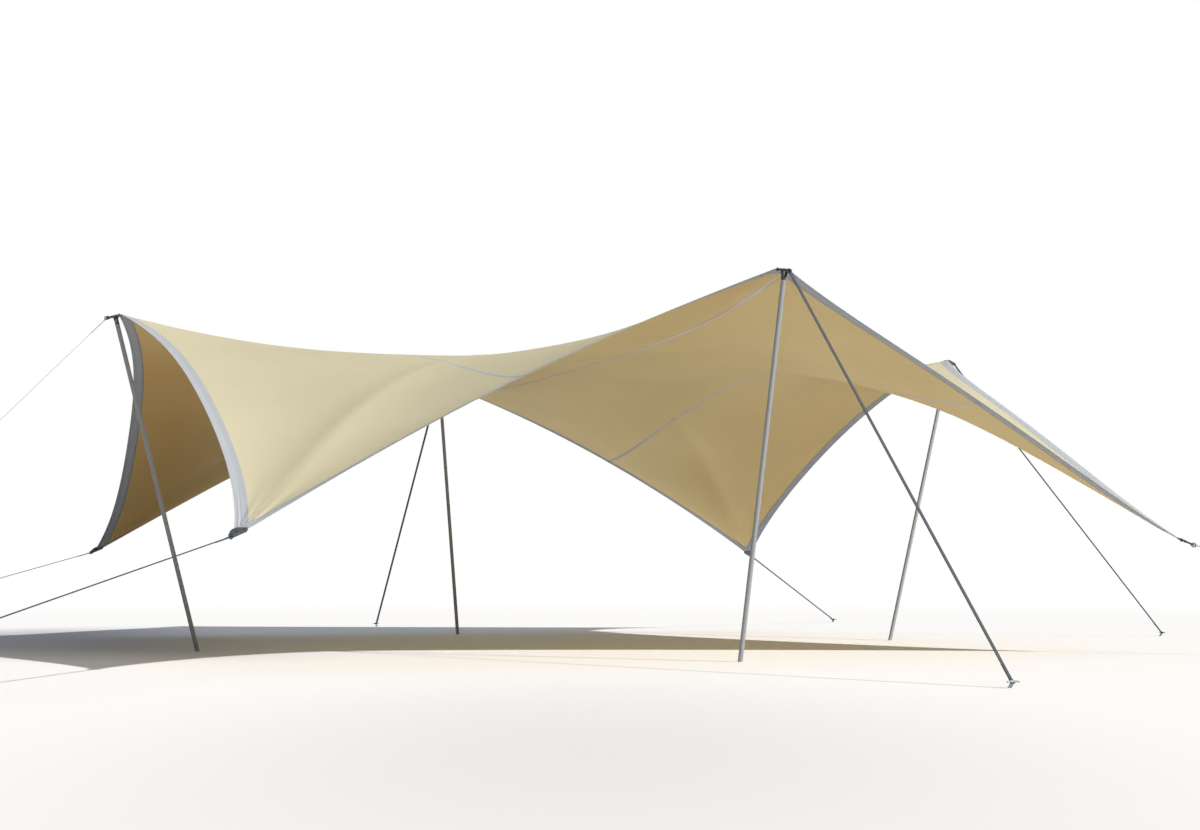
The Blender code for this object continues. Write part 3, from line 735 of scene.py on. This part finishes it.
plate = {
    "thickness": 0.014, "layer": 0.0048, "fillerShare": 0.965, "highSlope": 15.0, "lowSlope": 25.0,
    "fabricHalf": 0.002, "bevel": 0.0012, "fillerBevel": 0.0003,
    "cover": 0.022, "coverReach": 0.030,    # the low plates' layers reach in over the hem
    "bolts": ((0.0140, 0.0455), (0.0140, -0.0455)), "head": 0.0056, "headRise": 0.0033,
    "middleHole": 0.042, "middleRadius": 0.011, "tipHole": 0.0950, "tipRadius": 0.009,
    # profiles of (radius, height above the plate's face); the nut stands on a washer
    "washer": ((0, 0), (0.0068, 0), (0.0072, 0.0003), (0.0072, 0.0011), (0.0068, 0.0014), (0, 0.0014)),
    "socket": ((0.0020, 0.0026), (0.0, 0.0026)), "socketRadius": 0.0021,
    "nut": ((0, 0.0014), (0.0058, 0.0014), (0.0064, 0.0022), (0.0064, 0.0054), (0.0058, 0.0062),
            (0.0034, 0.0062), (0.0032, 0.0088), (0, 0.0090)),
    # half of the eyelet's rim, from the edge of its hole and the plate's face
    "rim": ((-0.0022, 0), (-0.0014, 0.0011), (0.0008, 0.0016), (0.0030, 0.0010), (0.0038, 0.0001),
            (-0.0002, -0.0004)),
    "capRadius": 0.0125, "capHeight": 0.0034, "capRound": 0.0016,
}


def plateFrame(name):
    kind = "high" if name in highPoints else "low"
    direction, slope = corners[name], plate[kind + "Slope"]
    back = plate["fabricHalf"] * math.tan(math.radians(slope))
    return placeAt(direction, tent[kind + "Radius"] + tent["gap"] + back, tent[kind + "Level"], slope)


def nodeShape(name):
    # points and faces of a merged copy of a node, with its flat faces joined up
    work = bmesh.new()
    work.from_mesh(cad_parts[name].data)
    bmesh.ops.remove_doubles(work, verts=work.verts, dist=0.00002)
    bmesh.ops.dissolve_limit(work, angle_limit=math.radians(1), verts=work.verts, edges=work.edges)
    points = np.array([v.co for v in work.verts], float)
    faces = [[v.index for v in face.verts] for face in work.faces]
    work.free()
    return points, faces


def shapePiece(name, layers, faces, finish, replaced, bevel):
    # one mesh of layers with the same faces, its edges rounded by a bevel
    mesh, count = bpy.data.meshes.new(name), len(layers[0])
    faces = [[index + count * k for index in face] for k in range(len(layers)) for face in faces]
    mesh.from_pydata(np.concatenate(layers).tolist(), [], faces)
    piece = settle(mesh, name, finish, "dark_steel", replaced)
    edges = piece.modifiers.new("edges", "BEVEL")
    edges.width, edges.segments, edges.limit_method = bevel, 3, "ANGLE"
    edges.angle_limit, edges.harden_normals = math.radians(40), True


def boltAt(bolts, nuts, spot):
    # a button head over a washer, and under the plate a washer and a hexagonal nut
    onFace = (0, plate["thickness"] / 2)
    base = plate["thickness"] / 2 + plate["washer"][-1][1]
    t = np.linspace(0, 1, 7)
    dome = np.stack([plate["head"] * np.cos(t * 1.15), base + plate["headRise"] * np.sin(t * np.pi / 2)], 1)
    foot = [(0, base - 0.0002), (plate["head"], base - 0.0002)]
    socket = np.vstack([(plate["socketRadius"], dome[-1, 1]), np.add(plate["socket"], onFace)])
    washer = np.add(plate["washer"], onFace)
    bolts.turn(washer, 28, spot).turn(np.vstack([foot, dome, socket]), 28, spot)
    under = spot @ turnAbout("x", 180)
    bolts.turn(washer, 28, under)
    nuts.turn(np.add(plate["nut"], onFace), 6, under)


def plugAt(piece, spot):
    # a plug with a low dome on both faces closes the middle hole
    top, cap, bend = plate["thickness"] / 2, plate["capRadius"], plate["capRound"]
    dome = arc(1, 0, 90, 7) * (bend, plate["capHeight"]) + (cap - bend, top)
    stem = [(plate["middleRadius"] - 0.0004, top - 0.0002), (cap, top - 0.0002)]
    half = np.vstack([stem, dome, [(0, top + plate["capHeight"])]])
    return piece.turn(np.vstack([half[::-1] * (1, -1), half]), 40, spot)


def eyeletAt(piece, spot):
    # a rolled rim through the tip's hole, standing a little proud of both faces of the plate
    rim = np.add(plate["rim"], (plate["tipRadius"], plate["thickness"] / 2))
    rim = np.vstack([rim[:1] * (1, -1), rim, rim[:0:-1] * (1, -1)])
    return piece.turn(rim, 40, spot, closed=True)


def makePlate(name):
    place = plateFrame(name)
    points, faces = nodeShape(f"corner_plate_{name}")
    local = through(np.linalg.inv(place), points)
    half, layer = plate["thickness"] / 2, plate["layer"]
    layers = []
    for bottom, top in ((half - layer, half), (-half, layer - half)):
        shape = local.copy()
        shape[:, 2] = np.where(local[:, 2] > 0, top, bottom)
        if name in lowPoints:       # over the hem, by less and less up to coverReach
            shape[:, 0] -= plate["cover"] * (1 - smooth(local[:, 0] / plate["coverReach"]))
        layers.append(through(place, shape))
    filler = local * (plate["fillerShare"], plate["fillerShare"], 1)
    filler[:, 2] = np.sign(local[:, 2]) * (half - layer - 0.00005)
    filler = through(place, filler)
    shapePiece(f"clampPlates_{name}", layers, faces, darkFinish, [f"corner_plate_{name}"], plate["bevel"])
    # the layer clamped between the plates is black plastic, painted shade in that narrow gap
    shapePiece(f"clampedWebbing_{name}", [filler], faces, plasticFinish, (), plate["fillerBevel"])
    bolts, nuts = Piece(f"plateBolts_{name}"), Piece(f"plateNuts_{name}")
    for x, y in plate["bolts"]:
        boltAt(bolts, nuts, place @ shift(x, y, 0))
    bolts.done(plasticFinish)
    nuts.done(plasticFinish, smoothFaces=False)
    eyelet = eyeletAt(Piece(f"plateEyelet_{name}"), place @ shift(plate["tipHole"], 0, 0))
    eyelet.done(darkFinish)
    plug = plugAt(Piece(f"platePlug_{name}"), place @ shift(plate["middleHole"], 0, 0))
    plug.done(plasticFinish)


for name in corners:
    makePlate(name)
print("corner plates made")


# Poles, each of three tubes, with a forked head

pole = {
    "footRadius": 3.492, "radius": 0.019, "forkHeight": 0.060, "sides": 48, "chamfer": 0.0012, "row": 0.02,
    "neck": 0.0110, "neckRadius": 0.0172,       # the slim end that goes up into the next tube
    # the rolled bead below it, from the tube's radius and its end
    "bead": ((0, -0.006), (0.0005, -0.004), (0.0005, -0.0015), (-0.0012, 0)),
    "buttonPlace": 0.054, "buttonRadius": 0.0042, "buttonAngle": -60.0, "buttonRise": 0.0022,
    # the trim round a button, from the button's radius and the tube's
    "trim": ((0.0016, -0.003), (0.0016, 0.0001), (0.0010, 0.0005), (0.0003, 0.0001), (0.0003, -0.001)),
}
poleTop = through(plateFrame("right"), (plate["middleHole"], 0, -plate["thickness"] / 2))
poleLean = math.atan2(poleTop[0] - pole["footRadius"], poleTop[2])
poleLength = math.hypot(poleTop[0] - pole["footRadius"], poleTop[2])
tubesLength = poleLength - pole["forkHeight"]


def poleStand(direction):
    return placeAt(direction, pole["footRadius"], 0, math.degrees(poleLean))


def makePole(side, direction):
    stand, step = poleStand(direction), tubesLength / 3
    r, c, neck, row = pole["radius"], pole["chamfer"], pole["neckRadius"], pole["row"]
    for number, part in enumerate(("lower", "middle", "upper")):
        start, end = step * number, step * (number + 1)
        join = end - pole["neck"] if number < 2 else end
        wall = [(0.0, start), (r - c, start), (r, start + c), (r, start + row)]
        wall += [(r, (start + join) / 2), (r, join - row)]
        if number < 2:
            wall += [(r + out, join + up) for out, up in pole["bead"]]
            wall += [(neck, join), (neck, end - tent["gap"]), (0.0, end - tent["gap"])]
        else:
            wall += [(r, end - c), (r - c, end), (0.0, end)]
        tube = turned(wall, pole["sides"])
        if number == 0:     # the foot is cut level with the ground
            tilt = math.tan(poleLean)
            tube[1, :, :2] *= r / (r - c)
            tube[:2, :, 2] = tube[:2, :, 0] * tilt
            tube[2, :, 2] += tube[2, :, 0] * tilt * 0.98
        piece = Piece(f"poleTube_{side}_{part}").grid(tube, wrap=True, place=stand)
        piece.done(poleFinish, "pole_metal", [f"pole_{side}_{part}"])
    rims, buttons = Piece(f"poleButtonRims_{side}"), Piece(f"poleButtons_{side}")
    b = pole["buttonRadius"]
    trim = np.add(pole["trim"], (b, r))
    trim = np.vstack([trim[:1] * (0, 1), trim, trim[-1:] * (0, 1)])
    dome = arc(1, 0, 90, 7) * (b, pole["buttonRise"]) + (0, r + 0.0006)
    outwards = turnAbout("z", pole["buttonAngle"]) @ turnAbout("y", 90)
    for number in (1, 2):
        spot = stand @ shift(0, 0, step * number + pole["buttonPlace"]) @ outwards
        rims.turn(trim, 28, spot)
        buttons.turn(np.vstack([[(0, r - 0.0008), (b, r - 0.0008)], dome]), 28, spot)
    rims.done(plasticFinish)
    buttons.done(zincFinish, "stake_steel")


fork = {
    "bevel": 0.0012, "arm": 0.021,          # outer face of an arm
    # profiles of (radius, height), from the tube's radius and end and from the arm's face
    "collar": ((-0.001, -0.006), (0.001, -0.006), (0.001, 0.0005), (-0.004, 0.002)), "collarRound": 0.0008,
    "rivet": ((0, -0.0005), (0.0062, -0.0005), (0.0062, 0.00175), (0.00372, 0.0035), (0, 0.0035)),
    "rivetLevel": -0.009, "rivetRound": 0.0015,
}


def makeForkHead(side, direction):
    # the fork itself, a collar round the tube's end, and a rivet through each arm near the plate
    points, faces = nodeShape(f"fork_{side}")
    shapePiece(f"forkHead_{side}", [points], faces, darkFinish, [f"fork_{side}"], fork["bevel"])
    stand = poleStand(direction)
    profile = np.add(fork["collar"], (pole["radius"], tubesLength))
    profile = np.vstack([profile, profile[-1:] * (0, 1)])
    collar = Piece(f"forkCollar_{side}").turn(softened(profile, fork["collarRound"]), 48, stand)
    collar.done(darkFinish)
    profile = np.add(fork["rivet"], (0, fork["arm"]))
    rivets = Piece(f"forkRivets_{side}")
    for turn in (-90, 90):
        spot = stand @ shift(0, 0, poleLength + fork["rivetLevel"]) @ turnAbout("x", turn)
        rivets.turn(softened(profile, fork["rivetRound"]), 28, spot)
    rivets.done(plasticFinish)


for side, direction in highPoints.items():
    makePole(side, direction)
    makeForkHead(side, direction)
print("poles made")


# Guys: a link in the plate, a ring, the webbing and a ring round the stake

guy = {
    "highStake": 6.923, "lowStake": 9.468,
    "shackleWire": 0.004, "shackleHalf": 0.015, "shacklePlace": 0.0971, "shackleEnd": 0.119,
    "linkInner": 0.0965, "linkOuter": 0.1335, "linkHeight": 0.025, "linkCorner": 0.006, "linkWire": 0.0035,
    "ringWire": 0.0020, "ringHalf": 0.0150, "ringLength": 0.016, "ringCorner": 0.006,
    "stakeRingHalf": 0.0166, "stakeRingLength": 0.018, "holdOut": 0.0066, "holdBelow": 0.0095,
    "thickness": 0.0022, "width": 0.025, "play": 0.0001,
    "foldHigh": 0.160, "foldLow": 0.130, "spreadOut": 0.024, "bareEnds": 0.12,
}
stake = {
    "height": 0.040, "lean": 42.0, "width": 0.028, "thickness": 0.0062, "edge": 0.0032,
    # levels on the bar, and its share of the full width there
    "bar": ((0.0, 1.0), (0.002, 1.0), (0.012, 1.0), (0.024, 1.0), (0.034, 0.97), (0.0385, 0.90)),
    "barLength": 0.090, "barRadius": 0.0055, "barEnd": 0.004, "weldSwell": 0.16,
    "droop": 0.004, "droopPower": 1.6, "bendStart": 0.024,
}


def ringPath(length, halfWidth, radius):
    # a rectangle with round corners, from its near bar at the origin along x
    box = roundedBox(length, 2 * halfWidth, radius, 6)
    return np.insert(box + (length / 2, 0), 2, 0, axis=1)


def strapPath(length):
    # in the plane of the guy, x along it and z square to it: up the folded end, round the
    # upper bar, down to the lower bar, round it and back up the lower fold
    r = guy["ringWire"] + guy["thickness"] / 2 + guy["play"]
    layer = guy["thickness"] + guy["play"]
    t = np.linspace(0, 1, 13)
    near = guy["spreadOut"] * t
    fold = np.stack([near, -r - (layer - r) * smooth(t)], 1)[::-1]
    leg = np.stack([near, r * (1 - smooth(t))], 1)
    upper = np.vstack([fold, arc(r, 270, 90, 15)[1:-1], leg])
    middle = np.column_stack([np.linspace(guy["bareEnds"], length - guy["bareEnds"], 40), np.zeros(40)])
    lower = upper[::-1] * (-1, 1) + (length, 0)
    flat = np.vstack([(guy["foldHigh"], -layer), upper, middle, lower, (length - guy["foldLow"], -layer)])
    return np.insert(flat, 1, 0, axis=1)


def makeStake(name, direction, radius):
    # a flat bar with rounded edges from the ground to the crossbar, whose ends droop a little
    place = placeAt(direction, radius, 0)
    tilt = math.tan(math.radians(stake["lean"]))
    section = roundedBox(stake["thickness"] * 1.3, stake["width"], stake["edge"], 5)
    levels, share = np.array(stake["bar"]).T
    bar = np.insert(section[None] * share[:, None, None], 2, 0, axis=2)
    bar += levels[:, None, None] * (tilt, 0, 1)
    piece = Piece(f"stakeBar_{name}").grid(bar, wrap=True, caps=True, place=place)
    half, bend = stake["barLength"] / 2, stake["bendStart"]
    y = np.linspace(-half, half, 41)
    sag = stake["droop"] * np.clip((np.abs(y) - bend) / (half - bend), 0, 1) ** stake["droopPower"]
    path = np.column_stack([np.full(41, stake["height"] * tilt), y, stake["height"] - sag])
    rounded = np.sqrt(1 - (1 - np.clip((half - np.abs(y)) / stake["barEnd"], 0, 1)) ** 2)
    ring, acrossBar = ringOf(stake["barRadius"], 24), np.array([1.0, 0.0, 0.0])
    piece.grid(carried(path, ring, acrossBar, size=rounded), wrap=True, place=place)
    # the weld: a low collar that blends bar and crossbar
    weld = path[12:29]
    swell = 0.99 + stake["weldSwell"] * np.sin(np.linspace(0, np.pi, len(weld))) ** 0.5
    piece.grid(carried(weld, ring, acrossBar, size=swell), wrap=True, caps=True, place=place)
    piece.done(zincFinish, "stake_steel", [f"stake_{name}"], sharp=45)


def makeGuy(name, direction):
    place = plateFrame(name)
    if name in highPoints:      # a rectangular link, which the ring pulls at its lower corner
        label, radius, sides, replaced = "linkRing", guy["highStake"], 12, ()
        inner, outer = guy["linkInner"], guy["linkOuter"]
        bendRadius, wire = guy["linkCorner"], guy["linkWire"]
        box = roundedBox(outer - inner, guy["linkHeight"], bendRadius, 7)
        path = np.insert(box + ((inner + outer) / 2, 0), 1, 0, axis=1)
        pulled = (outer - bendRadius, 0, bendRadius - guy["linkHeight"] / 2)
    else:                       # a long link, which the ring pulls at its far end
        label, radius, sides, replaced = "shackleLink", guy["lowStake"], 16, [f"shackle_{name}"]
        bendRadius, wire, pulled = guy["shackleHalf"], guy["shackleWire"], (guy["shackleEnd"], 0, 0)
        end = np.insert(arc(bendRadius, 90, 270, 17), 1, 0, axis=1)
        path = np.vstack([end + (guy["shacklePlace"] + bendRadius, 0, 0), pulled - end])
    stand = placeAt(direction, radius, 0)
    side = stand[:3, 1]
    link = Piece(f"{label}_{name}").wire(through(place, path), wire, side, sides)
    link.done(blackFinish, replaced=replaced)
    crossbar = np.array([stake["height"] * math.tan(math.radians(stake["lean"])), 0, stake["height"]])
    besideBar = through(turnAbout("y", stake["lean"]), (guy["holdOut"], 0, -guy["holdBelow"]))
    hold, bend = through(stand, crossbar + besideBar), through(place, pulled)
    along = unit(hold - bend)
    start = bend + along * (bendRadius - wire - guy["ringWire"])
    plane = planeOf(start, along, side)
    length = np.linalg.norm(hold - start)
    rings = Piece(f"guyRings_{name}")
    for spot, kind in ((plane, "ring"), (plane @ shift(length - guy["stakeRingLength"], 0, 0), "stakeRing")):
        path = ringPath(guy[kind + "Length"], guy[kind + "Half"], guy["ringCorner"])
        rings.wire(through(spot, path), guy["ringWire"], plane[:3, 2])
    rings.done(blackFinish)
    run = plane @ shift(guy["ringLength"], 0, 0)
    span = length - guy["ringLength"] - guy["stakeRingLength"]
    section = roundedBox(guy["width"], guy["thickness"], guy["thickness"] * 0.45, 3)
    strap = Piece(f"webbingStrap_{name}")
    strap.grid(carried(through(run, strapPath(span)), section, side), wrap=True, caps=True)
    strap.done(strapFinish, "strap_webbing", [f"strap_{name}"], sharp=55)
    makeStake(name, direction, radius)


for name, direction in corners.items():
    makeGuy(name, direction)
print("guys and stakes made")


# Floor, lights and camera

view = {
    "place": (-6.134, -15.519, 0.640), "heading": -22.49, "pitch": 5.29, "lens": 52.60, "sensor": 36.0,
    "sunFrom": (0.80, -1.30, 1.0), "sunStrength": 5.0, "sunAngle": 1.2, "sunColour": (1.0, 0.97, 0.93),
    "skyTop": 0.60, "skyLow": 0.03, "skyPower": 1.3, "skyColour": (0.97, 0.99, 1.03),
    "floorSize": 400.0, "clipEnd": 1000.0,
}


def makeFloor():
    half = view["floorSize"] / 2
    square = [(-half, -half, 0), (half, -half, 0), (half, half, 0), (-half, half, 0)]
    mesh = bpy.data.meshes.new("floor")
    mesh.from_pydata(square, [], [(0, 1, 2, 3)])
    mesh.materials.append(floorMaterial())
    floor = bpy.data.objects.new("floor", mesh)
    scene.collection.objects.link(floor)


def makeSky():
    # soft light, stronger from above than from the horizon, and plain white behind the tent
    g = Graph("studio", bpy.data.worlds.new("studio"))
    z = g.parts(g.node("TexCoord", output="Generated"))[2]
    strength = z.math("MAXIMUM", 0.0) ** view["skyPower"] * view["skyTop"] + view["skyLow"]
    light = g.node("Background", {"Color": view["skyColour"], "Strength": strength})
    seen = g.node("Background", {"Color": (1.0, 1.0, 1.0), "Strength": 1.0})
    direct = g.node("LightPath", output="Is Camera Ray")
    scene.world = g.either(direct, light, seen, "OutputWorld")


def makeLightAndCamera():
    sun = bpy.data.lights.new("sun", "SUN")
    sun.energy, sun.angle, sun.color = view["sunStrength"], math.radians(view["sunAngle"]), view["sunColour"]
    lamp = bpy.data.objects.new("sun", sun)
    x, y, z = view["sunFrom"]
    lamp.rotation_euler = (math.atan2(math.hypot(x, y), z), 0, math.atan2(x, -y))
    lens = bpy.data.cameras.new("camera")
    lens.lens, lens.sensor_width, lens.clip_end = view["lens"], view["sensor"], view["clipEnd"]
    camera = bpy.data.objects.new("camera", lens)
    camera.location = view["place"]
    camera.rotation_euler = (math.radians(90 + view["pitch"]), 0, math.radians(view["heading"]))
    for item in (lamp, camera):
        scene.collection.objects.link(item)
    scene.camera = camera
    scene.view_settings.view_transform = "Standard"


makeFloor()
makeSky()
makeLightAndCamera()
print("floor, light and camera made")
